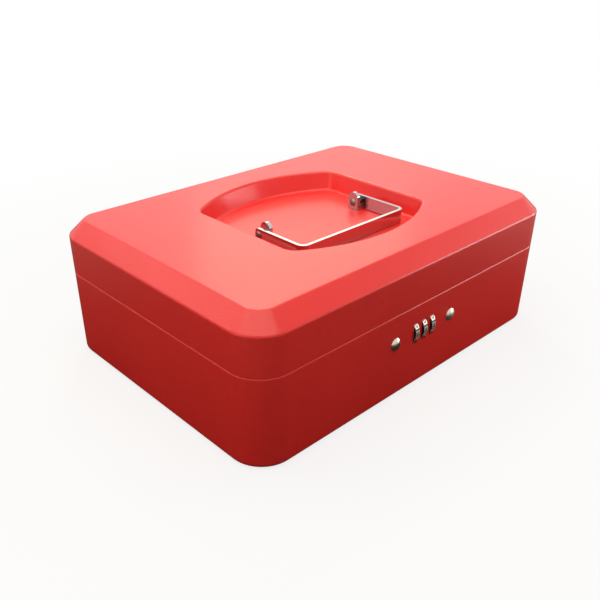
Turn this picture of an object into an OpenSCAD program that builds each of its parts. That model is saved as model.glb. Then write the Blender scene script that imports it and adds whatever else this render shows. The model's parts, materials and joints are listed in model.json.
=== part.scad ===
// Steel cash box with a three-dial lock, a folding carrying handle and a coin tray.
// Origin: middle of the footprint, on the surface that the box stands on.
// X runs along the width, the dials face -Y and Z points up.

/* [Box] */
// Width of the box, side to side
box_w = 250; // [230:5:320]
// Depth of the box, front to back
box_d = 180; // [175:5:230]
// Height of the closed box
box_h = 85; // [83:1:95]
// Height of the seam between base and lid
seam_z = 54; // [53:1:56]
// Radius of the upright corners in plan
corner_r = 20; // [18:1:26]
// Thickness of the sheet steel
sheet_t = 1; // [0.8:0.1:1.2]
// Radius of the bend round the bottom
base_bend_r = 3; // [2:0.5:5]

/* [Lid] */
// Height of the sloping band round the lid's top
bevel_h = 9; // [7:0.5:11]
// Depth of the sloping band, measured inward
bevel_in = 9.5; // [8:0.5:12]
// Radius of the bend below the sloping band
bevel_low_r = 2; // [1.5:0.5:5]
// Radius of the bend above the sloping band
bevel_top_r = 1.5; // [1.5:0.5:4]

/* [Rim] */
// Height of the base's upright rim above the seam
rim_h = 6; // [4:0.5:6]
// Clearance between the rim and the lid
rim_fit = 0.5; // [0.4:0.1:0.8]
// Gap between the lid's lower edge and the base's shoulder
seam_gap = 0.2; // [0.2:0.1:0.8]
// Radius of the rounded shoulder under the seam
shoulder_r = 1.1; // [0.9:0.05:1.1]
// Radius of the inward bend between shoulder and rim
joggle_r = 0.25; // [0.1:0.05:0.25]

/* [Handle dish] */
// Width of the dish between the tops of its curved sides
dish_w = 116; // [110:1:120]
// Radius of the dish's curved front and back
dish_bulge_r = 99; // [95:1:104]
// Radius of the dish's corners
dish_corner_r = 9; // [8.5:0.5:11]
// Depth of the dish below the lid's top
dish_depth = 12; // [11:0.5:12]
// Inward slope of the dish's wall over its depth
dish_slope = 4; // [2:0.5:4]
// Radius of the bend at the dish's upper edge
dish_rim_r = 2; // [1.5:0.5:3]
// Radius of the bend at the dish's floor
dish_floor_r = 2; // [1.5:0.5:4]

/* [Carrying handle] */
// Width of the handle over its arms
handle_w = 88.6; // [70:0.2:92]
// Reach of the handle from its pivot to the outer face of its grip
handle_reach = 36.5; // [30:0.5:42]
// Length of the arms behind the pivot
handle_tail = 3; // [2.8:0.1:4]
// Height of the handle's steel strip
strap_w = 8.2; // [7:0.1:8.5]
// Thickness of the handle's steel strip
strap_t = 2; // [1.5:0.1:2.5]
// Outer radius of the handle's two bends
handle_bend_r = 5; // [4:0.5:8]
// Radius of the corners at the arms' ends
handle_end_r = 2.2; // [2.2:0.1:2.6]
// Gap under the folded handle
handle_rest_gap = 0.5; // [0.4:0.1:0.7]
// Thickness of the handle's two ears
ear_t = 2.4; // [2:0.1:3]
// Width of the handle's two ears
ear_w = 8; // [7:0.5:9]
// Height of the ears above the dish's floor
ear_h = 11.4; // [10:0.1:11.5]
// Gap between an ear and the arm beside it
ear_gap = 3; // [2:0.1:4]
// Radius of the handle's pivot pins
pivot_r = 1.6; // [1.2:0.1:2]
// Radius of the pivot pins' heads
pivot_head_r = 2.5; // [2.3:0.1:2.8]
// Thickness of the ears' feet under the dish
foot_t = 1.5; // [1:0.1:1.5]
// Length of the ears' feet under the dish
foot_l = 14; // [10:1:20]

/* [Dials] */
// Radius of the number dials
dial_r = 9; // [8.6:0.1:9]
// Width of one dial
dial_w = 3.2; // [3:0.1:3.6]
// Distance from one dial to the next
dial_pitch = 7.4; // [7.2:0.1:7.6]
// How far the dials stand out of the front
dial_out = 1.5; // [1.4:0.1:2]
// Height of the dials' axis
lock_z = 35.5; // [34:0.5:36]
// Radius of the grooves between the numbers
groove_r = 0.5; // [0.3:0.1:0.7]
// Numbers round one dial
numbers = 10; // [10:1:12]
// Clearance beside a dial in its window
window_side_gap = 0.4; // [0.3:0.1:0.6]
// Clearance above and below a dial in its window
window_end_gap = 0.4; // [0.4:0.1:1]

/* [Lock] */
// Radius of the spindle that carries the dials
spindle_r = 1.2; // [1:0.1:1.3]
// Running clearance of a turning piece on its pin
pin_fit = 0.05; // [0.03:0.01:0.08]
// Outer radius of the sleeves under the dials
sleeve_r = 2.2; // [2:0.1:2.3]
// Radius of the cam disc on each sleeve
cam_r = 5; // [4.8:0.1:5]
// Thickness of a cam disc
cam_t = 0.8; // [0.6:0.1:0.8]
// Distance of the cam's flat from its axis
cam_flat = 2.5; // [2.4:0.05:2.6]
// Travel of the sleeves when the code is reset
reset_shift = 0.7; // [0.5:0.1:0.7]
// Travel of the reset lever
lever_travel = 4; // [3:0.5:4]
// Thickness of the lock frame
frame_t = 1.5; // [1.2:0.1:1.8]
// Half height of the lock frame
frame_half_h = 11.5; // [11.5:0.5:12]
// Distance between the two lock rivets
lock_rivet_gap = 50; // [50:1:60]
// Radius of the lock rivets' domed heads
dome_r = 4; // [3:0.5:5]
// Height of the lock rivets' domed heads
dome_h = 1.8; // [1.2:0.1:2.2]
// Radius of the lock rivets' shanks
rivet_r = 1.9; // [1.5:0.1:2]
// Radius of the lock rivets' flat tails inside the frame
rivet_tail_r = 2.8; // [2.4:0.1:3]
// Height of the lock rivets' flat tails
rivet_tail_h = 1; // [0.6:0.1:1.2]
// Half height of the frame's two cheeks
cheek_half_h = 6; // [5:0.5:7]
// Radius of the heads that hold the spindle in the cheeks
spindle_head_r = 2; // [1.8:0.1:2.4]
// Thickness of the spindle's heads
spindle_head_t = 1.2; // [0.8:0.1:1.4]
// Thickness of the detent spring
spring_t = 0.3; // [0.2:0.05:0.35]
// Width of one finger of the detent spring
finger_w = 2.4; // [2:0.1:2.8]
// Radius of the rounded tip on each finger
finger_r = 0.36; // [0.3:0.02:0.36]
// Wall of the lock cover
cover_t = 1.2; // [1:0.1:1.4]
// Half width of the lock cover
cover_half_w = 19; // [19:0.5:20]
// Height of the flange that the cover is screwed on by
flange_h = 8; // [6:0.5:8]
// Radius of the cover screws' shanks
screw_r = 1; // [0.8:0.1:1.1]
// Radius of the cover screws' heads
screw_head_r = 1.9; // [1.7:0.1:2]
// Thickness of the cover screws' heads
screw_head_t = 1; // [0.8:0.1:1.2]

/* [Strike] */
// Thickness of the strike plate
strike_t = 1.2; // [1:0.1:1.4]
// Depth that the strike's teeth reach past the cams' rims
tooth_bite = 1.1; // [0.9:0.1:1.2]
// Height of one tooth
tooth_h = 2.4; // [2:0.1:3]
// Width of one tooth
tooth_w = 1.2; // [1:0.1:1.2]
// Clearance between the strike and the dials behind which it hangs
strike_gap = 1.2; // [1.1:0.1:1.6]

/* [Hinges] */
// Distance between the middles of the two hinges
hinge_gap = 150; // [130:5:180]
// Width of one hinge
hinge_w = 28; // [24:1:34]
// Radius of the hinge pin
hinge_pin_r = 1.2; // [1:0.1:1.5]
// Thickness of a hinge leaf
leaf_t = 1; // [0.8:0.1:1.2]
// Height of the base's hinge leaf, measured from the pin's axis
leaf_h = 16; // [14:1:20]
// Bare wall between the lid's hinge leaf and the sloping band
leaf_top_gap = 6; // [4:0.5:8]
// Radius of the corners at the leaves' free ends
leaf_corner_r = 2.5; // [1:0.5:4]
// Radius of the heads on the hinge pins
pin_head_r = 1.8; // [1.7:0.1:2.2]
// Thickness of the heads on the hinge pins
pin_head_t = 0.9; // [0.6:0.1:1.2]
// Radius of the hinge rivets' shanks
hinge_rivet_r = 1.4; // [1.2:0.1:1.5]
// Radius of the hinge rivets' domed heads
hinge_head_r = 2.4; // [2.2:0.1:2.6]
// Height of the hinge rivets' domed heads
hinge_head_h = 1; // [0.8:0.1:1.2]
// Height of the hinge rivets' flat tails inside the box
hinge_tail_h = 0.4; // [0.3:0.1:0.5]

/* [Tray] */
// Thickness of the tray's walls
tray_t = 1.5; // [1.2:0.1:2]
// Depth of the tray's compartments
tray_depth = 24; // [20:1:26]
// Radius of the compartments' upright corners
cup_r = 6; // [4:0.5:8]
// Radius of the coin cups' scooped bottoms
scoop_r = 58; // [50:1:90]
// Half width of the bay that clears the lock
bay_half_w = 24; // [22:0.5:30]
// Depth of the bay, measured inward from the rim
bay_d = 24.5; // [24:0.5:28]
// Depth of the row of coin cups, front to back
coin_row_d = 91; // [85:1:95]

/* [Hidden] */

$fn = 64;
small = 0.3;                                   // clearance between faces that pass each other
over = 1;                                      // overshoot of a cutting body
lap = 0.5;                                     // overlap of two bodies that are joined
front_y = -box_d / 2;
rim_z = seam_z + rim_h;
shoulder_z = seam_z - seam_gap;
rim_out = corner_r - sheet_t - rim_fit;        // rim's outer face, from the corner's centre
rim_inset = 2 * sheet_t + rim_fit;             // rim's inner face, from the outside of the box
dish_z = box_h - dish_depth;
pivot_z = dish_z + handle_rest_gap + strap_w / 2;
ear_x = handle_w / 2 - strap_t - ear_gap;      // outer face of an ear
dial_y = front_y + dial_r - dial_out;
hinge_knuckle_r = hinge_pin_r + pin_fit + leaf_t;
hinge_y = box_d / 2 + hinge_knuckle_r + small;
cam_x = dial_w / 2 + 0.2;                      // near face of a cam, from its dial's middle
cam_end = cam_x + cam_t;
sleeve_start = dial_pitch - cam_end - 0.1;     // free end of a sleeve, from its dial's middle
cheek_x = dial_pitch + sleeve_start + 2.7;     // inner face of the frame's cheeks
strike_y = dial_y + dial_r + strike_gap;       // front face of the strike's hanging plate
tooth_tip_y = dial_y + cam_r - tooth_bite;
tooth_z = lock_z - sqrt(cam_r * cam_r - pow(cam_r - tooth_bite, 2)) - 0.4 - tooth_h;
cover_back = strike_y + strike_t + 2;          // inner face of the cover's back

// ---- Profiles ---------------------------------------------------------------------

function unit(v) = v / norm(v);
function turn(a, v, b) = (v[0] - a[0]) * (b[1] - v[1]) - (v[1] - a[1]) * (b[0] - v[0]);
function half_angle(a, v, b) = acos(unit(a - v) * unit(b - v)) / 2;
function tangent_length(a, v, b, r) = r / tan(half_angle(a, v, b));
function bend_centre(a, v, b, r) = v + unit(unit(a - v) + unit(b - v)) * r / sin(half_angle(a, v, b));
function left_of(a, b) = [a[1] - b[1], b[0] - a[0]] / norm(b - a);
function reversed(list) = [for (i = [len(list) - 1 : -1 : 0]) list[i]];

// The piece between a corner and the arc that rounds it, cut off at the chord.
module bend_segment(a, v, b, r) {
    reach = tangent_length(a, v, b, r);
    intersection() {
        translate(bend_centre(a, v, b, r)) circle(r);
        polygon([v + unit(a - v) * reach, v, v + unit(b - v) * reach]);
    }
}

// A counter-clockwise outline with true arcs in its corners. Radius 0 keeps a corner sharp.
module rounded_outline(points, radii) {
    count = len(points);
    chords = [for (i = [0 : count - 1])
        let (a = points[(i + count - 1) % count], v = points[i], b = points[(i + 1) % count])
        each radii[i] > 0
            ? [v + unit(a - v) * tangent_length(a, v, b, radii[i]),
               v + unit(b - v) * tangent_length(a, v, b, radii[i])]
            : [v]];
    difference() {
        union() {
            polygon(chords);
            for (i = [0 : count - 1]) {
                a = points[(i + count - 1) % count];
                b = points[(i + 1) % count];
                if (radii[i] > 0 && turn(a, points[i], b) > 0) bend_segment(a, points[i], b, radii[i]);
            }
        }
        for (i = [0 : count - 1]) {
            a = points[(i + count - 1) % count];
            b = points[(i + 1) % count];
            if (radii[i] > 0 && turn(a, points[i], b) < 0) bend_segment(a, points[i], b, radii[i]);
        }
    }
}

// A bent strip of sheet. The path is one face of the sheet, the thickness lies to its left,
// and radii holds the bend radius of that face at each point.
module bent_sheet(path, radii, t) {
    last = len(path) - 1;
    other = [for (i = [0 : last])
        i == 0 ? path[0] + left_of(path[0], path[1]) * t
        : i == last ? path[last] + left_of(path[last - 1], path[last]) * t
        : path[i] + (left_of(path[i - 1], path[i]) + left_of(path[i], path[i + 1])) * t
            / (1 + left_of(path[i - 1], path[i]) * left_of(path[i], path[i + 1]))];
    other_radii = [for (i = [0 : last])
        i == 0 || i == last || radii[i] == 0 ? 0
        : turn(path[i - 1], path[i], path[i + 1]) > 0 ? max(radii[i] - t, 0) : radii[i] + t];
    rounded_outline(concat(path, reversed(other)), concat(radii, reversed(other_radii)));
}

module rounded_rectangle(w, d, r) {
    rounded_outline([[-w / 2, -d / 2], [w / 2, -d / 2], [w / 2, d / 2], [-w / 2, d / 2]], [r, r, r, r]);
}

// Carries a profile round a rounded rectangle. The profile's x is 0 at the corner's
// centre and r at the outer face.
module carry_round(w, d, r) {
    for (side = [0 : 3]) {
        straight = (side % 2 == 0 ? w : d) - 2 * r;
        reach = (side % 2 == 0 ? d : w) / 2 - r;
        rotate([0, 0, 90 * side]) translate([straight / 2, -reach, 0]) {
            rotate([90, 0, -90]) linear_extrude(straight) children();
            rotate([0, 0, -90]) rotate_extrude(angle = 90) children();
        }
    }
}

// ---- Dish outline -----------------------------------------------------------------

// Direction in which a curved side ends and a corner begins. It belongs to a right triangle
// with sides 336, 527 and 625, so both parts of it are exact.
dish_turn = [336 / 625, 527 / 625];
dish_arc_y = dish_w / 2 - dish_bulge_r;        // centre of the back arc
dish_corner = [0, dish_arc_y] + dish_turn * (dish_bulge_r - dish_corner_r);

// The upright wedge between two directions from a point.
module wedge(tip, from, to) {
    linear_extrude(4 * box_h, center = true) polygon([tip, tip + from * box_w, tip + to * box_w]);
}

// Carries a profile round the dish. The profile's x is 0 on the outline and grows outward.
module carry_dish() {
    for (half = [0, 180]) rotate([0, 0, half]) {
        intersection() {
            translate([0, dish_arc_y, 0]) rotate_extrude(angle = 180, $fn = 180)
                translate([dish_bulge_r, 0]) children();
            wedge([0, dish_arc_y], dish_turn, [-dish_turn[0], dish_turn[1]]);
        }
        for (m = [0, 1]) mirror([m, 0, 0]) intersection() {
            translate(dish_corner) rotate_extrude(angle = 90) translate([dish_corner_r, 0]) children();
            wedge(dish_corner, [1, 0], dish_turn);
        }
        translate([dish_corner[0] + dish_corner_r, dish_corner[1], 0]) rotate([90, 0, 0])
            linear_extrude(2 * dish_corner[1]) children();
    }
}

// The area inside the corners' centres, made larger by grow all round.
module dish_core(grow) {
    intersection() {
        square([2 * (dish_corner[0] + grow), dish_w], center = true);
        translate([0, dish_arc_y]) circle(dish_bulge_r - dish_corner_r + grow, $fn = 180);
        translate([0, -dish_arc_y]) circle(dish_bulge_r - dish_corner_r + grow, $fn = 180);
    }
}

// ---- Small shapes -----------------------------------------------------------------

// A cylinder along X from x0 to x1, through y and z.
module rod(x0, x1, y, z, r) {
    translate([x0, y, z]) rotate([0, 90, 0]) cylinder(h = x1 - x0, r = r);
}

// A domed head standing on z = 0.
module dome(r, h) {
    ball_r = (r * r + h * h) / (2 * h);
    rotate_extrude() intersection() {
        translate([0, h - ball_r]) circle(ball_r);
        square([r, h]);
    }
}

// A rivet along z: domed head above 0, shank through the grip, flat tail below it.
module rivet(shank_r, head_r, head_h, grip, tail_r, tail_h) {
    dome(head_r, head_h);
    translate([0, 0, -grip - tail_h]) cylinder(h = grip + tail_h, r = shank_r);
    translate([0, 0, -grip - tail_h]) cylinder(h = tail_h, r = tail_r);
}

// ---- Base -------------------------------------------------------------------------

hinge_z = seam_z;
leaf_start = hinge_knuckle_r + small;          // from the pin's axis to the flat of a leaf
lid_leaf_h = box_h - bevel_h - leaf_top_gap - hinge_z;
base_hinge_rivet_z = hinge_z - (leaf_start + leaf_h) / 2;
lid_hinge_rivet_z = hinge_z + (leaf_start + lid_leaf_h) / 2;

module base_sheet() {
    bent_sheet(
        [[0, 0], [corner_r, 0], [corner_r, shoulder_z], [rim_out, shoulder_z], [rim_out, rim_z]],
        [0, base_bend_r, shoulder_r, joggle_r, 0], sheet_t);
}

module base_shell() {
    color("firebrick") difference() {
        union() {
            carry_round(box_w, box_d, corner_r) base_sheet();
            translate([corner_r - box_w / 2, corner_r - box_d / 2, 0])
                cube([box_w - 2 * corner_r, box_d - 2 * corner_r, sheet_t]);
        }
        for (i = [-1 : 1]) dial_window(i * dial_pitch);
        for (side = [-1, 1]) translate([side * lock_rivet_gap / 2, front_y - over, lock_z])
            rotate([-90, 0, 0]) cylinder(h = sheet_t + 2 * over, r = rivet_r + pin_fit);
        hinge_rivet_holes(base_hinge_rivet_z);
    }
}

window_w = dial_w + 2 * window_side_gap;
window_h = 2 * (sqrt(dial_r * dial_r - pow(dial_r - dial_out - sheet_t, 2)) + window_end_gap);

module dial_window(x) {
    translate([x, front_y + sheet_t + over, lock_z]) rotate([90, 0, 0])
        linear_extrude(sheet_t + 2 * over) rounded_rectangle(window_w, window_h, 0.6);
}

// ---- Hinges -----------------------------------------------------------------------

hinge_rivet_gap = hinge_w - 4 * hinge_head_r - 3;
knuckle_w = (hinge_w - 2 * small) / 3;

module at_hinge_rivets(z) {
    for (side = [-1, 1], x = [-1, 1])
        translate([side * hinge_gap / 2 + x * hinge_rivet_gap / 2, box_d / 2, z]) children();
}

module hinge_rivet_holes(z) {
    at_hinge_rivets(z) translate([0, over, 0]) rotate([90, 0, 0])
        cylinder(h = sheet_t + 2 * over, r = hinge_rivet_r + pin_fit);
}

// A leaf whose plate runs away from the pin, up for 1 and down for -1. Each knuckle is
// [start, width] along the pin, counted from the hinge's left end.
module hinge_leaf(x, way, knuckles) {
    wall_y = box_d / 2;
    low = way > 0 ? hinge_z + leaf_start : hinge_z - leaf_h;
    high = way > 0 ? hinge_z + lid_leaf_h : hinge_z - leaf_start;
    low_r = way > 0 ? 0 : leaf_corner_r;
    high_r = way > 0 ? leaf_corner_r : 0;
    difference() {
        translate([x - hinge_w / 2, 0, 0]) union() {
            translate([0, wall_y + leaf_t, 0]) rotate([90, 0, 0]) linear_extrude(leaf_t)
                rounded_outline([[0, low], [hinge_w, low], [hinge_w, high], [0, high]],
                                [low_r, low_r, high_r, high_r]);
            for (k = knuckles) {
                translate([k[0], wall_y, way > 0 ? hinge_z : hinge_z - leaf_start - small])
                    cube([k[1], leaf_t, leaf_start + small]);
                rod(k[0], k[0] + k[1], hinge_y, hinge_z, hinge_knuckle_r);
            }
        }
        rod(x - hinge_w, x + hinge_w, hinge_y, hinge_z, hinge_pin_r + pin_fit);
        at_hinge_rivets(way > 0 ? lid_hinge_rivet_z : base_hinge_rivet_z) translate([0, leaf_t + over, 0])
            rotate([90, 0, 0]) cylinder(h = leaf_t + 2 * over, r = hinge_rivet_r + pin_fit);
    }
}

module base_hinge_leaf(side) {
    color("firebrick") hinge_leaf(side * hinge_gap / 2, -1,
        [[0, knuckle_w], [2 * (knuckle_w + small), knuckle_w]]);
}

module lid_hinge_leaf(side) {
    color("firebrick") hinge_leaf(side * hinge_gap / 2, 1, [[knuckle_w + small, knuckle_w]]);
}

module hinge_pin(side) {
    x = side * hinge_gap / 2;
    color("silver") union() {
        rod(x - hinge_w / 2, x + hinge_w / 2, hinge_y, hinge_z, hinge_pin_r);
        rod(x - hinge_w / 2 - pin_head_t, x - hinge_w / 2, hinge_y, hinge_z, pin_head_r);
        rod(x + hinge_w / 2, x + hinge_w / 2 + pin_head_t, hinge_y, hinge_z, pin_head_r);
    }
}

module hinge_rivets(z) {
    color("firebrick") at_hinge_rivets(z) translate([0, leaf_t, 0]) rotate([-90, 0, 0])
        rivet(hinge_rivet_r, hinge_head_r, hinge_head_h, leaf_t + sheet_t, hinge_head_r - 0.2, hinge_tail_h);
}

// ---- Lock -------------------------------------------------------------------------

// The frame stands against the front wall: a plate with a window for the dials, two ears for
// the rivets and two cheeks that carry the spindle.
frame_y = front_y + sheet_t;
frame_back = frame_y + frame_t;
frame_half_w = lock_rivet_gap / 2 + 6;
flange_end = screw_head_r + 0.7;               // bare flange beyond a screw's middle
screw_x = cover_half_w + screw_head_r + 0.4;
screw_z = lock_z - frame_half_h + flange_h / 2;
cheek_depth = dial_y + spindle_r + 3 - frame_back;

module lock_frame() {
    opening_half_h = sqrt(dial_r * dial_r - pow(dial_y - frame_back, 2)) + 0.5;
    color("dimgray") difference() {
        union() {
            translate([0, frame_back, lock_z]) rotate([90, 0, 0]) linear_extrude(frame_t)
                rounded_rectangle(2 * frame_half_w, 2 * frame_half_h, 3);
            for (side = [-1, 1])
                translate([side * (cheek_x + frame_t / 2) - frame_t / 2, frame_back - 0.1, lock_z - cheek_half_h])
                    cube([frame_t, cheek_depth + 0.1, 2 * cheek_half_h]);
        }
        translate([-cheek_x + 1, frame_y - over, lock_z - opening_half_h])
            cube([2 * cheek_x - 2, frame_t + 2 * over, 2 * opening_half_h]);
        rod(-2 * cheek_x, 2 * cheek_x, dial_y, lock_z, spindle_r + pin_fit);
        for (side = [-1, 1]) {
            translate([side * lock_rivet_gap / 2, frame_y - over, lock_z]) rotate([-90, 0, 0])
                cylinder(h = frame_t + 2 * over, r = rivet_r + pin_fit);
            translate([side * screw_x, frame_y - over, screw_z]) rotate([-90, 0, 0])
                cylinder(h = frame_t + 2 * over, r = screw_r + pin_fit);
        }
    }
}

module lock_rivet(side) {
    color("silver") translate([side * lock_rivet_gap / 2, front_y, lock_z]) rotate([90, 0, 0])
        rivet(rivet_r, dome_r, dome_h, sheet_t + frame_t, rivet_tail_r, rivet_tail_h);
}

module lock_spindle() {
    reach = cheek_x + frame_t;
    color("silver") union() {
        rod(-reach, reach, dial_y, lock_z, spindle_r);
        rod(-reach - spindle_head_t, -reach, dial_y, lock_z, spindle_head_r);
        rod(reach, reach + spindle_head_t, dial_y, lock_z, spindle_head_r);
    }
}

module dial_wheel(i) {
    x = i * dial_pitch;
    color("gainsboro") difference() {
        rod(x - dial_w / 2, x + dial_w / 2, dial_y, lock_z, dial_r);
        rod(x - dial_w, x + dial_w, dial_y, lock_z, sleeve_r + pin_fit);
        translate([x, dial_y, lock_z]) for (n = [0 : numbers - 1])
            rotate([(n + 0.5) * 360 / numbers, 0, 0]) translate([-dial_w, -dial_r, 0])
                rotate([0, 90, 0]) cylinder(h = 2 * dial_w, r = groove_r);
    }
}

// The sleeve under a dial carries a cam disc whose flat faces the strike when the dial is set.
module cam_sleeve(i) {
    x = i * dial_pitch;
    color("goldenrod") difference() {
        union() {
            rod(x - sleeve_start, x + cam_end, dial_y, lock_z, sleeve_r);
            intersection() {
                rod(x + cam_x, x + cam_end, dial_y, lock_z, cam_r);
                translate([x, dial_y - 2 * cam_r, lock_z - 2 * cam_r])
                    cube([dial_w, 2 * cam_r + cam_flat, 4 * cam_r]);
            }
        }
        rod(x - dial_pitch, x + dial_pitch, dial_y, lock_z, spindle_r + pin_fit);
    }
}

// One leaf with three fingers that lie in the grooves under the dials.
module detent_spring() {
    finger_z = lock_z - dial_r - 0.1 - finger_r;   // middle of the fingers' rounded tips
    leaf_z = finger_z - finger_r + 0.07;           // underside of the leaf
    root = dial_pitch + finger_w / 2 + 1.8;        // half width of the leaf's root
    color("silver") union() {
        for (i = [-1 : 1]) translate([i * dial_pitch - finger_w / 2, frame_back, leaf_z])
            cube([finger_w, dial_y - frame_back + 1.5, spring_t]);
        for (i = [-1 : 1])
            rod(i * dial_pitch - finger_w / 2, i * dial_pitch + finger_w / 2, dial_y, finger_z, finger_r);
        translate([-root, frame_back, leaf_z]) cube([2 * root, 2.2, spring_t]);
        translate([-root, frame_back, leaf_z]) cube([2 * root, spring_t, 1.1]);
    }
}

// The lever's wedge rises beside the first sleeve and pushes the row of sleeves along. Its
// stem passes through the cover and ends in a thumb tab.
lever_slope = reset_shift / lever_travel;
lever_low_z = lock_z - sleeve_r - lever_travel;
lever_back_x = -cheek_x + 0.2;
lever_stem_t = 1.6;
lever_stem_h = 3;

module reset_lever() {
    face_x = -dial_pitch - sleeve_start - 0.1;
    thin_x = face_x - lever_slope * 2 * sleeve_r;
    high_z = lock_z + sleeve_r;
    wedge_end = dial_y + sleeve_r + 1.5;
    tab_y = cover_back + cover_t + 0.3;
    slot_half = spindle_r + 0.25;
    color("orangered") difference() {
        union() {
            translate([0, wedge_end, 0]) rotate([90, 0, 0]) linear_extrude(2 * (sleeve_r + 1.5))
                polygon([[lever_back_x, lever_low_z - 1], [face_x + reset_shift, lever_low_z - 1],
                         [face_x + reset_shift, lever_low_z], [thin_x, high_z],
                         [thin_x, high_z + 0.6], [lever_back_x, high_z + 0.6]]);
            translate([lever_back_x, wedge_end - 1, lever_low_z])
                cube([lever_stem_t, tab_y + 0.5 - wedge_end + 1, lever_stem_h]);
            translate([lever_back_x - 1.2, tab_y, lever_low_z - 0.5])
                cube([lever_stem_t + 2.4, 1.6, lever_stem_h + 1]);
        }
        translate([-2 * cheek_x, dial_y - slot_half, lock_z - lever_travel - slot_half])
            cube([2 * cheek_x, 2 * slot_half, lever_travel + 2 * slot_half]);
    }
}

// ---- Lock cover -------------------------------------------------------------------

cover_slot_x = dial_pitch + cam_x + tooth_w + 2;

module lock_cover() {
    depth = cover_back - frame_back;
    color([0.12, 0.12, 0.13]) difference() {
        union() {
            translate([0, cover_back + cover_t, lock_z]) rotate([90, 0, 0])
                linear_extrude(depth + cover_t) rounded_rectangle(2 * cover_half_w, 2 * frame_half_h, 2.5);
            translate([0, frame_back + cover_t, screw_z]) rotate([90, 0, 0]) linear_extrude(cover_t)
                rounded_rectangle(2 * (screw_x + flange_end), flange_h, 2.5);
        }
        translate([0, cover_back, lock_z]) rotate([90, 0, 0]) linear_extrude(depth + over)
            rounded_rectangle(2 * (cover_half_w - cover_t), 2 * (frame_half_h - cover_t), 1.3);
        translate([-cover_slot_x, tooth_tip_y - 3, lock_z])
            cube([2 * cover_slot_x, cover_back - tooth_tip_y + 2.4, frame_half_h + over]);
        translate([lever_back_x - small, cover_back - over, lever_low_z - small])
            cube([lever_stem_t + 2 * small, cover_t + 2 * over, lever_stem_h + lever_travel + 2 * small]);
        for (side = [-1, 1]) translate([side * screw_x, frame_back - over, screw_z])
            rotate([-90, 0, 0]) cylinder(h = cover_t + 2 * over, r = screw_r + pin_fit);
    }
}

module lock_cover_screws() {
    color("silver") for (side = [-1, 1]) translate([side * screw_x, frame_back + cover_t, screw_z])
        rotate([-90, 0, 0]) difference() {
            union() {
                cylinder(h = screw_head_t, r = screw_head_r);
                translate([0, 0, -cover_t - frame_t]) cylinder(h = cover_t + frame_t + 0.1, r = screw_r);
            }
            translate([-screw_head_r - over, -0.25, screw_head_t / 2])
                cube([2 * (screw_head_r + over), 0.5, over]);
        }
}

// ---- Lid --------------------------------------------------------------------------

bevel_z = box_h - bevel_h;

module lid_sheet() {
    bent_sheet([[corner_r, seam_z], [corner_r, bevel_z], [corner_r - bevel_in, box_h], [0, box_h]],
        [0, bevel_low_r, bevel_top_r, 0], sheet_t);
}

module dish_sheet() {
    bent_sheet([[dish_rim_r + 1, box_h], [0, box_h], [-dish_slope, dish_z], [lap - dish_corner_r, dish_z]],
        [0, dish_rim_r, dish_floor_r, 0], sheet_t);
}

module lid_shell() {
    color("firebrick") difference() {
        union() {
            carry_round(box_w, box_d, corner_r) lid_sheet();
            difference() {
                translate([corner_r - box_w / 2, corner_r - box_d / 2, box_h - sheet_t])
                    cube([box_w - 2 * corner_r, box_d - 2 * corner_r, sheet_t]);
                carry_dish() translate([lap - dish_corner_r, box_h - sheet_t - over])
                    square([dish_corner_r + dish_rim_r + 1 - lap, sheet_t + 2 * over]);
                translate([0, 0, box_h - sheet_t - over]) linear_extrude(sheet_t + 2 * over) dish_core(over);
            }
            carry_dish() dish_sheet();
            translate([0, 0, dish_z - sheet_t]) linear_extrude(sheet_t) dish_core(over);
        }
        for (side = [-1, 1])
            translate([side * (ear_x - ear_t / 2) - ear_t / 2 - 0.15, -ear_w / 2 - 0.15, dish_z - sheet_t - over])
                cube([ear_t + 0.3, ear_w + 0.3, sheet_t + 2 * over]);
        hinge_rivet_holes(lid_hinge_rivet_z);
    }
}

// The strike is welded inside the lid's front wall. It reaches back over the rim and hangs
// behind the dials, with one tooth beside each cam.
module strike_comb() {
    left = -dial_pitch - 2;
    width = 2 * dial_pitch + cam_x + tooth_w + 2.5;
    web_z = rim_z + 1.6;
    color("silver") union() {
        translate([left, frame_y, web_z]) cube([width, strike_t, bevel_z - 2 - web_z]);
        translate([left, frame_y, web_z]) cube([width, strike_y + strike_t - frame_y, strike_t]);
        translate([left, strike_y, tooth_z]) cube([width, strike_t, web_z + strike_t - tooth_z]);
        for (i = [-1 : 1]) translate([i * dial_pitch + cam_x + 0.1, tooth_tip_y, tooth_z])
            cube([tooth_w, strike_y - tooth_tip_y + 0.1, tooth_h]);
    }
}

// ---- Handle -----------------------------------------------------------------------

module handle_ear(side) {
    color("silver") difference() {
        union() {
            translate([side * (ear_x - ear_t / 2) - ear_t / 2, -ear_w / 2, dish_z - sheet_t - foot_t])
                cube([ear_t, ear_w, sheet_t + foot_t + ear_h - ear_w / 2]);
            rod(side * (ear_x - ear_t / 2) - ear_t / 2, side * (ear_x - ear_t / 2) + ear_t / 2,
                0, dish_z + ear_h - ear_w / 2, ear_w / 2);
            translate([side * (ear_x - foot_l / 2) - foot_l / 2, -ear_w / 2 - 1, dish_z - sheet_t - foot_t])
                cube([foot_l, ear_w + 2, foot_t]);
        }
        rod(-handle_w, handle_w, 0, pivot_z, pivot_r + pin_fit);
    }
}

module handle_pivot(side) {
    color("silver") mirror([side < 0 ? 1 : 0, 0, 0]) union() {
        rod(ear_x - ear_t, handle_w / 2 + 0.1, 0, pivot_z, pivot_r);
        translate([handle_w / 2 + 0.1, 0, pivot_z]) rotate([0, 90, 0]) dome(pivot_head_r, 1);
        translate([ear_x - ear_t, 0, pivot_z]) rotate([0, -90, 0]) dome(pivot_head_r, 1);
        rod(ear_x, ear_x + ear_gap - 0.1, 0, pivot_z, pivot_r + 0.5);
    }
}

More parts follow.
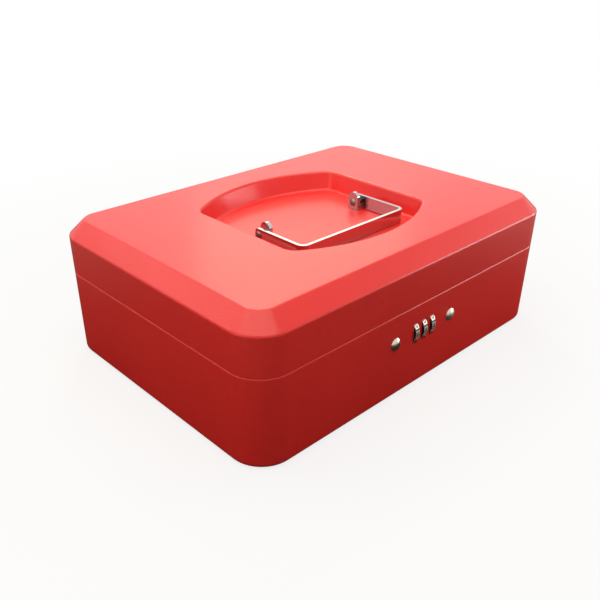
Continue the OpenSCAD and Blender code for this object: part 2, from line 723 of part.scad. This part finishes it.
// The strip stands on edge. The arms' ends are rounded to turn clear of the dish's floor.
module carry_handle() {
    arm_x = handle_w / 2;
    color("silver") difference() {
        intersection() {
            translate([0, 0, pivot_z - strap_w / 2]) linear_extrude(strap_w)
                bent_sheet([[-arm_x, handle_tail], [-arm_x, -handle_reach], [arm_x, -handle_reach],
                            [arm_x, handle_tail]], [0, handle_bend_r, handle_bend_r, 0], strap_t);
            translate([-handle_w, 0, pivot_z]) rotate([90, 0, 90]) linear_extrude(2 * handle_w)
                rounded_outline([[-handle_reach - over, -strap_w / 2], [handle_tail, -strap_w / 2],
                                 [handle_tail, strap_w / 2], [-handle_reach - over, strap_w / 2]],
                                [0, handle_end_r, handle_end_r, 0]);
        }
        rod(-handle_w, handle_w, 0, pivot_z, pivot_r + pin_fit);
    }
}

// ---- Coin tray --------------------------------------------------------------------

tray_inset = rim_inset + 0.8 + tray_t / 2;     // middle of the tray's wall, from the outside of the box
tray_floor = rim_z - tray_depth;
tray_half_w = box_w / 2 - tray_inset;
tray_half_d = box_d / 2 - tray_inset;
bay_y = front_y + bay_d;
row_y = -tray_half_d + coin_row_d;             // back of the coin cups' row

// Each compartment is [x0, x1, y0, y1, scooped], measured to the middle of its walls.
cup_edge = bay_half_w + tray_t / 2;
cups = [
    [-tray_half_w, -(tray_half_w + cup_edge) / 2, -tray_half_d, row_y, true],
    [-(tray_half_w + cup_edge) / 2, -cup_edge, -tray_half_d, row_y, true],
    [-cup_edge, cup_edge, bay_y, row_y, true],
    [cup_edge, (tray_half_w + cup_edge) / 2, -tray_half_d, row_y, true],
    [(tray_half_w + cup_edge) / 2, tray_half_w, -tray_half_d, row_y, true],
    [-tray_half_w, tray_half_w / 3, row_y, tray_half_d, false],
    [tray_half_w / 3, tray_half_w, row_y, tray_half_d, false]
];

// The tray's plan, made larger by grow, with corners that follow the box's.
module tray_plan(grow) {
    rounded_rectangle(2 * (tray_half_w + grow), 2 * (tray_half_d + grow), corner_r - tray_inset + grow);
}

// The space of one compartment, made larger by grow on its sides and floor.
module cup_body(cup, grow) {
    w = cup[1] - cup[0] - tray_t + 2 * grow;
    d = cup[3] - cup[2] - tray_t + 2 * grow;
    translate([(cup[0] + cup[1]) / 2, (cup[2] + cup[3]) / 2, tray_floor - grow]) intersection() {
        linear_extrude(tray_depth + tray_t + (grow > 0 ? grow : over)) rounded_rectangle(w, d, cup_r + grow);
        if (cup[4]) translate([0, 0, scoop_r + grow]) union() {
            rod(-w, w, 0, 0, scoop_r + grow, $fn = 120);
            translate([-w, -2 * scoop_r, 0]) cube([2 * w, 4 * scoop_r, scoop_r]);
        }
    }
}

module coin_tray() {
    lip_inset = sheet_t + hinge_tail_h + small;
    color([0.1, 0.1, 0.11]) difference() {
        union() {
            translate([0, 0, rim_z]) linear_extrude(tray_t)
                rounded_rectangle(box_w - 2 * lip_inset, box_d - 2 * lip_inset, corner_r - lip_inset);
            intersection() {
                union() for (cup = cups) cup_body(cup, tray_t);
                linear_extrude(box_h) tray_plan(tray_t / 2);
            }
        }
        intersection() {
            union() for (cup = cups) cup_body(cup, 0);
            linear_extrude(box_h) tray_plan(-tray_t / 2);
        }
        translate([0, front_y, rim_z]) linear_extrude(3 * tray_t, center = true)
            rounded_rectangle(2 * bay_half_w, 2 * (bay_d - tray_t / 2), 3);
    }
}

// ---- Assembly ---------------------------------------------------------------------

base_shell();
base_hinge_leaf(-1);  // base_hinge_leaf_left
base_hinge_leaf(1);  // base_hinge_leaf_right
hinge_rivets(base_hinge_rivet_z);  // base_hinge_rivets
hinge_pin(-1);  // hinge_pin_left
hinge_pin(1);  // hinge_pin_right
lock_frame();
lock_spindle();
detent_spring();
lock_cover();
lock_cover_screws();
lock_rivet(-1);  // lock_rivet_left
lock_rivet(1);  // lock_rivet_right
lid_shell();
lid_hinge_leaf(-1);  // lid_hinge_leaf_left
lid_hinge_leaf(1);  // lid_hinge_leaf_right
hinge_rivets(lid_hinge_rivet_z);  // lid_hinge_rivets
strike_comb();
handle_ear(-1);  // handle_ear_left
handle_ear(1);  // handle_ear_right
handle_pivot(-1);  // handle_pivot_left
handle_pivot(1);  // handle_pivot_right
carry_handle();
dial_wheel(-1);  // dial_wheel_1
dial_wheel(0);  // dial_wheel_2
dial_wheel(1);  // dial_wheel_3
cam_sleeve(-1);  // cam_sleeve_1
cam_sleeve(0);  // cam_sleeve_2
cam_sleeve(1);  // cam_sleeve_3
reset_lever();
coin_tray();
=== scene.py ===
"""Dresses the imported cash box: paint, plating and printed numbers, with a floor, lights and a camera."""

import json
import math

import bmesh
import bpy
from mathutils import Matrix, Vector


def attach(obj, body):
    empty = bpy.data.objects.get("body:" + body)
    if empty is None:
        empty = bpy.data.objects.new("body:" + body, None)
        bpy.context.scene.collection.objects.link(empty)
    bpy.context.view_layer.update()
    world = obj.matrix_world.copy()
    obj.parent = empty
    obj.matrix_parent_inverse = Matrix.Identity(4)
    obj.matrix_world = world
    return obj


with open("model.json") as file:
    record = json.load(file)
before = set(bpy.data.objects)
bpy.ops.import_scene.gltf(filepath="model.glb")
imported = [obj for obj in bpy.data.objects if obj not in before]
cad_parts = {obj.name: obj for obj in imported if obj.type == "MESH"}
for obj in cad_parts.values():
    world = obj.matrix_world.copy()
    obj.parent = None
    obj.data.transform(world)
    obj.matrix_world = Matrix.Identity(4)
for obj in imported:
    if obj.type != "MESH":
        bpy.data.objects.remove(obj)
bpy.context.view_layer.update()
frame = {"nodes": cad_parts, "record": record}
nodes = frame["nodes"]

MM = 0.001
PICTURE = 600

# Dials: radius, width, axis and spacing as the lock has them.
DIAL_R = 9.0 * MM
DIAL_W = 3.2 * MM
DIAL_Y = -82.5 * MM
DIAL_Z = 35.5 * MM
DIAL_PITCH = 7.4 * MM
# Digits: height, width, the narrower 1, how far the font's strokes are fattened, the ink's
# thickness, the angle from one digit to the next, and the rows that let a digit bend.
DIGIT_H = 3.1 * MM
DIGIT_W = 1.9 * MM
ONE_W = 0.42 * DIGIT_W
STROKE = 0.03
INK_T = 0.02 * MM
BLOCK_ANGLE = math.radians(36)
DIGIT_ROWS = 12

# Camera: the point that it circles, its distance and its aim.
TARGET = Vector((-62.005, -41.79, 45.0)) * MM
CAMERA_DISTANCE = 381.634 * MM
CAMERA_PITCH = 0.5162
CAMERA_YAW = -0.753
FOCAL_PIXELS = 693.896
CENTRE_X = 285.712
CENTRE_Y = 320.603
SENSOR = 36

# Floor: its size, how far it lies under the box, and its tone for the camera.
FLOOR_SIZE = 14
FLOOR_DROP = 0.2 * MM
FLOOR_TONE = 0.82
# Its tone in a reflection is darker than the camera's, and darkest near the box as painted shade:
# near the box, far from it, and where the change starts and ends. Painted faces get the bounce on top of
# that tone.
FLOOR_IN_METAL = 0.04
FLOOR_IN_METAL_FAR = 0.4
METAL_NEAR = 0.2
METAL_FAR = 0.45
FLOOR_BOUNCE = 0.2
# White that the camera sees over the floor: its share near the box and far from it, and where
# the change starts and ends.
WHITE_SHARE = 0.8
WHITE_SHARE_FAR = 1.0
WHITE_NEAR = 0.12
WHITE_FAR = 0.5

# Where the large lamps look, and how strongly the world lights the box.
LID_TOP = (0, 0, 0.08)
BOX_MIDDLE = (0, 0, 0.05)
WORLD_LEVEL = 0.05

# Sockets of a colour mix: its two colours and its result.
MIX_FIRST = 6
MIX_SECOND = 7
MIX_RESULT = 2


# ---- Material building ------------------------------------------------------------


class Coat:
    """A material on one Principled shader, with short ways to add patterns in object space."""

    def __init__(self, name, colour, metallic=0.0, roughness=0.5, specular=0.5):
        self.material = bpy.data.materials.new(name)
        self.material.use_nodes = True
        self.tree = self.material.node_tree
        self.shader = self.tree.nodes["Principled BSDF"]
        self.place = self.add("ShaderNodeTexCoord").outputs["Object"]
        self.shader.inputs["Base Color"].default_value = linear(colour)
        self.shader.inputs["Metallic"].default_value = metallic
        self.shader.inputs["Roughness"].default_value = roughness
        self.shader.inputs["Specular IOR Level"].default_value = specular
        self.relief = None

    def add(self, kind, **settings):
        node = self.tree.nodes.new(kind)
        for key, value in settings.items():
            setattr(node, key, value)
        return node

    def link(self, out, into):
        self.tree.links.new(out, into)

    def stretched(self, scale):
        """The object's coordinates, scaled along each axis."""
        node = self.add("ShaderNodeMapping")
        node.inputs["Scale"].default_value = scale
        self.link(self.place, node.inputs["Vector"])
        return node.outputs["Vector"]

    def noise(self, scale, detail=2.0, rough=0.5, place=None):
        node = self.add("ShaderNodeTexNoise")
        self.link(place or self.place, node.inputs["Vector"])
        node.inputs["Scale"].default_value = scale
        node.inputs["Detail"].default_value = detail
        node.inputs["Roughness"].default_value = rough
        return node.outputs["Fac"]

    def between(self, value, low, high, start=0.3, end=0.7):
        """Maps a pattern's value from start..end to low..high."""
        return ramp(self.tree, value, start, end, low, high).outputs["Result"]

    def tint(self, fac, first, second):
        """Colours the coat between two colours."""
        node = self.add("ShaderNodeMix", data_type="RGBA")
        self.link(fac, node.inputs["Factor"])
        node.inputs[MIX_FIRST].default_value = linear(first)
        node.inputs[MIX_SECOND].default_value = linear(second)
        self.link(node.outputs[MIX_RESULT], self.shader.inputs["Base Color"])

    def rough(self, value):
        self.link(value, self.shader.inputs["Roughness"])

    def bump(self, height, distance, strength=1.0):
        """Adds relief on top of any that is there."""
        node = self.add("ShaderNodeBump")
        node.inputs["Strength"].default_value = strength
        node.inputs["Distance"].default_value = distance
        self.link(height, node.inputs["Height"])
        if self.relief:
            self.link(self.relief, node.inputs["Normal"])
        self.relief = node.outputs["Normal"]
        self.link(self.relief, self.shader.inputs["Normal"])


def ramp(tree, value, start, end, low, high):
    """A node that maps a value from start..end to low..high."""
    node = tree.nodes.new("ShaderNodeMapRange")
    tree.links.new(value, node.inputs["Value"])
    node.inputs["From Min"].default_value = start
    node.inputs["From Max"].default_value = end
    node.inputs["To Min"].default_value = low
    node.inputs["To Max"].default_value = high
    return node


def linear(colour):
    """Turns a colour written in screen values of 0 to 255 into Blender's linear values."""
    parts = [c / 255 for c in colour]
    return tuple(c / 12.92 if c <= 0.04045 else ((c + 0.055) / 1.055) ** 2.4 for c in parts) + (1.0,)


# ---- Finishes ---------------------------------------------------------------------


def red_powder_coat():
    coat = Coat("red_powder_coat", (243, 40, 34), roughness=0.4, specular=0.26)
    coat.tint(coat.between(coat.noise(22, 3), 0, 1), (240, 38, 32), (246, 42, 36))
    coat.shader.inputs["Coat Weight"].default_value = 0.6
    coat.shader.inputs["Coat Roughness"].default_value = 0.19
    grain = coat.noise(1000, 3, 0.7)
    coat.rough(coat.between(grain, 0.36, 0.46))
    coat.bump(coat.noise(420, 2), 0.05 * MM, 0.5)
    coat.bump(grain, 0.2 * MM, 1.0)
    return coat.material


def chrome(name, colour, roughness, scratches=(1, 1, 1)):
    """Bright plating with faint wipe marks along one direction."""
    coat = Coat(name, colour, metallic=1.0, roughness=roughness)
    marks = coat.noise(900, 3, 0.6, coat.stretched(scratches))
    cloud = coat.noise(60, 2)
    coat.rough(coat.between(cloud, roughness * 0.8, roughness * 1.5))
    coat.bump(marks, 0.004 * MM, 0.6)
    return coat.material


def dial_plating():
    """Frosted plating on a dial's rim, with its grooves and flat sides painted black as painted shade of
    the grooves and of the slot that it turns in.

    A groove lies nearer to the axis than the rim, and a side lies half a width from the middle.
    """
    coat = Coat("dial_plating", (216, 210, 196), metallic=1.0, roughness=0.47)
    along = coat.add("ShaderNodeSeparateXYZ")
    coat.link(coat.place, along.inputs["Vector"])
    from_middle = coat.add("ShaderNodeMath", operation="PINGPONG")
    from_middle.inputs[1].default_value = DIAL_PITCH / 2
    coat.link(along.outputs["X"], from_middle.inputs[0])
    side = coat.between(from_middle.outputs[0], 0, 1, DIAL_W / 2 - 0.06 * MM, DIAL_W / 2 - 0.02 * MM)
    spoke = coat.add("ShaderNodeMapping")
    spoke.inputs["Location"].default_value = (0, -DIAL_Y, -DIAL_Z)
    spoke.inputs["Scale"].default_value = (0, 1, 1)
    coat.link(coat.place, spoke.inputs["Vector"])
    reach = coat.add("ShaderNodeVectorMath", operation="LENGTH")
    coat.link(spoke.outputs["Vector"], reach.inputs[0])
    groove = coat.between(reach.outputs["Value"], 1, 0, DIAL_R - 0.15 * MM, DIAL_R - 0.05 * MM)
    # Painted shade: black on the grooves and on the flat sides that turn in the slot.
    slot_and_groove_shade = coat.add("ShaderNodeMath", operation="MAXIMUM")
    coat.link(side, slot_and_groove_shade.inputs[0])
    coat.link(groove, slot_and_groove_shade.inputs[1])
    coat.tint(slot_and_groove_shade.outputs[0], (216, 210, 196), (22, 22, 23))
    coat.link(coat.between(slot_and_groove_shade.outputs[0], 1, 0, 0, 1), coat.shader.inputs["Metallic"])
    coat.rough(coat.between(coat.noise(700, 3), 0.4, 0.54))
    coat.bump(coat.noise(1800, 3, 0.6, coat.stretched((1, 0.15, 0.15))), 0.006 * MM, 0.6)
    return coat.material


def zinc():
    coat = Coat("zinc_plating", (176, 180, 182), metallic=1.0, roughness=0.32)
    coat.tint(coat.between(coat.noise(160, 3), 0, 1), (160, 165, 170), (192, 192, 184))
    coat.rough(coat.between(coat.noise(260, 3), 0.25, 0.42))
    coat.bump(coat.noise(1500, 2), 0.006 * MM, 0.6)
    return coat.material


def bright_steel():
    coat = Coat("bright_steel", (196, 197, 199), metallic=1.0, roughness=0.25)
    coat.rough(coat.between(coat.noise(500, 3, 0.6, coat.stretched((0.1, 1, 1))), 0.18, 0.34))
    coat.bump(coat.noise(2200, 2, 0.5, coat.stretched((0.1, 1, 1))), 0.004 * MM, 0.6)
    return coat.material


def spring_steel():
    coat = Coat("spring_steel", (150, 152, 158), metallic=1.0, roughness=0.3)
    coat.tint(coat.between(coat.noise(300, 2), 0, 1), (138, 140, 150), (164, 160, 152))
    coat.rough(coat.between(coat.noise(700, 2), 0.24, 0.38))
    coat.bump(coat.noise(1800, 2), 0.004 * MM, 0.5)
    return coat.material


def black_lacquer():
    coat = Coat("black_lacquer", (26, 26, 28), roughness=0.38)
    coat.tint(coat.between(coat.noise(90, 2), 0, 1), (22, 22, 24), (34, 34, 36))
    coat.rough(coat.between(coat.noise(240, 3), 0.32, 0.46))
    coat.bump(coat.noise(1400, 2), 0.01 * MM, 0.6)
    return coat.material


def black_ink():
    coat = Coat("black_ink", (16, 16, 18), roughness=0.45)
    coat.rough(coat.between(coat.noise(2500, 2), 0.36, 0.55))
    coat.bump(coat.noise(3000, 2), 0.003 * MM, 0.5)
    return coat.material


def brass():
    coat = Coat("brass", (206, 168, 92), metallic=1.0, roughness=0.28)
    coat.tint(coat.between(coat.noise(240, 3), 0, 1), (190, 150, 78), (216, 180, 106))
    coat.rough(coat.between(coat.noise(600, 3), 0.22, 0.36))
    coat.bump(coat.noise(2200, 2, 0.5, coat.stretched((0.15, 1, 1))), 0.004 * MM, 0.5)
    return coat.material


def orange_moulding():
    coat = Coat("orange_moulding", (226, 92, 30), roughness=0.42)
    coat.tint(coat.between(coat.noise(120, 2), 0, 1), (220, 86, 27), (232, 99, 36))
    coat.rough(coat.between(coat.noise(500, 2), 0.36, 0.5))
    coat.bump(coat.noise(1800, 2), 0.008 * MM, 0.5)
    return coat.material


def black_moulding():
    """The tray's plastic, with a fine spark-eroded grain."""
    coat = Coat("black_moulding", (30, 30, 32), roughness=0.5)
    coat.tint(coat.between(coat.noise(40, 3), 0, 1), (27, 27, 29), (36, 36, 38))
    coat.rough(coat.between(coat.noise(300, 3), 0.42, 0.58))
    coat.bump(coat.noise(1200, 3, 0.6), 0.03 * MM, 0.6)
    return coat.material


FINISHES = {
    "red_coat": red_powder_coat(),
    "pin_steel": bright_steel(),
    "zinc_plate": zinc(),
    "spring_steel": spring_steel(),
    "rivet_chrome": chrome("rivet_chrome", (212, 202, 182), 0.26),
    "handle_chrome": chrome("handle_chrome", (192, 193, 195), 0.1, scratches=(0.08, 0.6, 1)),
    "lock_black": black_lacquer(),
    "dial_chrome": dial_plating(),
    "sleeve_brass": brass(),
    "lever_orange": orange_moulding(),
    "tray_black": black_moulding(),
}
# Painted shade: a darker copy of the chrome that dims the handle's pivot heads.
SHADED_PIVOT_CHROME = chrome("shaded_pivot_chrome", (128, 125, 122), 0.3)


def dress_cad_nodes():
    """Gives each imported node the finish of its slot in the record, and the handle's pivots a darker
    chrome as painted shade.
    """
    for part in frame["record"]["subparts"]:
        node = nodes[part["node"]]
        finish = FINISHES[part["material_slot"]]
        # Painted shade: the pivot heads get the darker chrome.
        if part["node"].startswith("handle_pivot"):
            finish = SHADED_PIVOT_CHROME
        for index in range(len(node.material_slots)):
            node.material_slots[index].material = finish


# ---- Numbers on the dials ---------------------------------------------------------


def digit_mesh(digit):
    """A flat printed digit as a fresh bmesh, centred, with its height along Y."""
    curve = bpy.data.curves.new("digit", "FONT")
    curve.body = str(digit)
    curve.size = 1.0
    curve.extrude = 0.5
    curve.offset = STROKE
    curve.resolution_u = 6
    holder = bpy.data.objects.new("digit", curve)
    bpy.context.scene.collection.objects.link(holder)
    bpy.context.view_layer.update()
    mesh = bpy.data.meshes.new_from_object(holder.evaluated_get(bpy.context.evaluated_depsgraph_get()))
    bpy.data.objects.remove(holder)
    bpy.data.curves.remove(curve)
    shape = bmesh.new()
    shape.from_mesh(mesh)
    bpy.data.meshes.remove(mesh)
    bmesh.ops.remove_doubles(shape, verts=shape.verts, dist=1e-5)
    xs = [v.co.x for v in shape.verts]
    ys = [v.co.y for v in shape.verts]
    middle = Vector(((min(xs) + max(xs)) / 2, (min(ys) + max(ys)) / 2, 0))
    width = ONE_W if digit == 1 else DIGIT_W
    scale = Vector((width / (max(xs) - min(xs)), DIGIT_H / (max(ys) - min(ys)), INK_T))
    bmesh.ops.translate(shape, verts=shape.verts, vec=-middle)
    bmesh.ops.scale(shape, verts=shape.verts, vec=scale)
    return shape


def print_digits(dial, x):
    """Prints 0 to 9 round one dial, each on the face between two grooves."""
    mesh = bpy.data.meshes.new(f"dial_digits_{dial}")
    whole = bmesh.new()
    for digit in range(10):
        shape = digit_mesh(digit)
        for row in range(1, DIGIT_ROWS):
            height = DIGIT_H * (row / DIGIT_ROWS - 0.5)
            bmesh.ops.bisect_plane(
                shape,
                geom=shape.verts[:] + shape.edges[:] + shape.faces[:],
                plane_co=(0, height, 0),
                plane_no=(0, 1, 0),
            )
        for v in shape.verts:
            angle = v.co.y / DIAL_R + (1 - digit) * BLOCK_ANGLE
            reach = DIAL_R + v.co.z
            v.co = Vector((x + v.co.x, DIAL_Y - reach * math.cos(angle), DIAL_Z + reach * math.sin(angle)))
        part = bpy.data.meshes.new("part")
        shape.to_mesh(part)
        shape.free()
        whole.from_mesh(part)
        bpy.data.meshes.remove(part)
    bmesh.ops.recalc_face_normals(whole, faces=whole.faces)
    whole.to_mesh(mesh)
    whole.free()
    mesh.materials.append(INK)
    piece = bpy.data.objects.new(f"dial_digits_{dial}", mesh)
    bpy.context.scene.collection.objects.link(piece)
    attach(piece, f"dial_{dial}")


# ---- Floor, light and camera ------------------------------------------------------


def shown_to(tree, *rays):
    """1 for a ray of any of these kinds, 0 for the rest."""
    path = tree.nodes.new("ShaderNodeLightPath")
    value = path.outputs[rays[0]]
    for ray in rays[1:]:
        both = tree.nodes.new("ShaderNodeMath")
        both.operation = "MAXIMUM"
        tree.links.new(value, both.inputs[0])
        tree.links.new(path.outputs[ray], both.inputs[1])
        value = both.outputs[0]
    return value


def pale_floor():
    """A matt floor, near white to the camera apart from the box's shadow, and dark in reflections, darkest
    near the box as painted shade.
    """
    bpy.ops.mesh.primitive_plane_add(size=FLOOR_SIZE)
    floor = bpy.context.object
    floor.name = "floor"
    floor.location.z = -FLOOR_DROP
    material = bpy.data.materials.new("pale_floor")
    material.use_nodes = True
    tree = material.node_tree
    tree.nodes.remove(tree.nodes["Principled BSDF"])
    seen = shown_to(tree, "Is Camera Ray", "Is Transmission Ray")
    place = tree.nodes.new("ShaderNodeTexCoord")
    distance = tree.nodes.new("ShaderNodeVectorMath")
    distance.operation = "LENGTH"
    tree.links.new(place.outputs["Object"], distance.inputs[0])
    away = distance.outputs["Value"]

    # Painted shade: in reflections the floor is darkest near the box.
    mirrored = ramp(tree, away, METAL_NEAR, METAL_FAR, FLOOR_IN_METAL, FLOOR_IN_METAL_FAR)
    tone = ramp(tree, seen, 0, 1, FLOOR_IN_METAL, FLOOR_TONE)
    tree.links.new(mirrored.outputs["Result"], tone.inputs["To Min"])
    bounce = tree.nodes.new("ShaderNodeMath")
    bounce.operation = "MULTIPLY_ADD"
    bounce.inputs[1].default_value = FLOOR_BOUNCE
    tree.links.new(shown_to(tree, "Is Diffuse Ray"), bounce.inputs[0])
    tree.links.new(tone.outputs["Result"], bounce.inputs[2])
    paint = tree.nodes.new("ShaderNodeBsdfDiffuse")
    tree.links.new(bounce.outputs[0], paint.inputs["Color"])

    white = tree.nodes.new("ShaderNodeEmission")
    white.inputs["Strength"].default_value = 1.0
    lift = ramp(tree, away, WHITE_NEAR, WHITE_FAR, WHITE_SHARE, WHITE_SHARE_FAR)
    lift.interpolation_type = "SMOOTHSTEP"
    share = tree.nodes.new("ShaderNodeMath")
    share.operation = "MULTIPLY"
    tree.links.new(seen, share.inputs[0])
    tree.links.new(lift.outputs["Result"], share.inputs[1])

    mix = tree.nodes.new("ShaderNodeMixShader")
    tree.links.new(share.outputs[0], mix.inputs["Fac"])
    tree.links.new(paint.outputs[0], mix.inputs[1])
    tree.links.new(white.outputs[0], mix.inputs[2])
    tree.links.new(mix.outputs[0], tree.nodes["Material Output"].inputs["Surface"])
    floor.data.materials.append(material)


def plain_world(level):
    """White to the camera and in reflections, and as strong as the level for all other light."""
    world = bpy.data.worlds.new("studio")
    bpy.context.scene.world = world
    world.use_nodes = True
    tree = world.node_tree
    sky = tree.nodes["Background"]
    sky.inputs["Color"].default_value = (1, 1, 1, 1)
    seen = shown_to(tree, "Is Camera Ray", "Is Glossy Ray", "Is Transmission Ray")
    strength = ramp(tree, seen, 0, 1, level, 1.0)
    tree.links.new(strength.outputs["Result"], sky.inputs["Strength"])


def softbox(name, aim, direction, distance, width, height, power, colour):
    """A rectangular lamp that looks at a point from a direction."""
    lamp = bpy.data.lights.new(name, "AREA")
    lamp.color = colour
    lamp.shape = "RECTANGLE"
    lamp.size = width
    lamp.size_y = height
    lamp.energy = power
    holder = bpy.data.objects.new(name, lamp)
    towards = Vector(direction).normalized()
    holder.location = Vector(aim) + towards * distance
    holder.rotation_euler = towards.to_track_quat("Z", "Y").to_euler()
    holder.visible_camera = False
    bpy.context.scene.collection.objects.link(holder)


def view_direction():
    """From the target back to the camera."""
    return Vector((
        math.sin(CAMERA_YAW) * math.cos(CAMERA_PITCH),
        -math.cos(CAMERA_YAW) * math.cos(CAMERA_PITCH),
        math.sin(CAMERA_PITCH),
    ))


def place_camera():
    camera = bpy.data.cameras.new("camera")
    camera.sensor_width = SENSOR
    camera.lens = SENSOR * FOCAL_PIXELS / PICTURE
    camera.shift_x = (PICTURE / 2 - CENTRE_X) / PICTURE
    camera.shift_y = (CENTRE_Y - PICTURE / 2) / PICTURE
    camera.clip_start = 0.01
    holder = bpy.data.objects.new("camera", camera)
    bpy.context.scene.collection.objects.link(holder)
    back = view_direction()
    right = (-back).cross(Vector((0, 0, 1))).normalized()
    up = right.cross(-back)
    turned = Matrix((right, up, back)).transposed().to_4x4()
    holder.matrix_world = Matrix.Translation(TARGET + back * CAMERA_DISTANCE) @ turned
    bpy.context.scene.camera = holder


# ---- Assembly ---------------------------------------------------------------------

INK = black_ink()
dress_cad_nodes()
for dial in (1, 2, 3):
    print_digits(dial, (dial - 2) * DIAL_PITCH)
pale_floor()
plain_world(WORLD_LEVEL)
softbox("overhead", LID_TOP, (-0.16, -0.1, 1), 0.8, 1.2, 1.2, 9.1, (1, 0.96, 0.84))
softbox("key", LID_TOP, (0.59, 0.605, 0.56), 0.95, 0.42, 0.42, 0.75, (1, 0.88, 0.62))
softbox("glint", LID_TOP, (0.4, 0.58, 0.71), 0.95, 0.22, 0.22, 1.4, (1, 0.95, 0.82))
softbox("back_left", LID_TOP, (-0.52, 0.53, 0.66), 0.9, 0.55, 0.55, 1.25, (1, 0.95, 0.85))
softbox("left", BOX_MIDDLE, (-0.93, 0.0, 0.25), 0.95, 0.4, 0.4, 0.58, (1, 0.95, 0.88))
softbox("front", BOX_MIDDLE, (-0.3, -0.9, 0.3), 0.95, 0.4, 0.4, 0.06, (1, 0.96, 0.92))
softbox("fill", (0.1, -0.05, 0.05), (0.8, -0.6, 0.14), 0.45, 0.3, 0.2, 0.8, (1, 0.97, 0.97))
place_camera()
bpy.context.scene.view_settings.view_transform = "Standard"
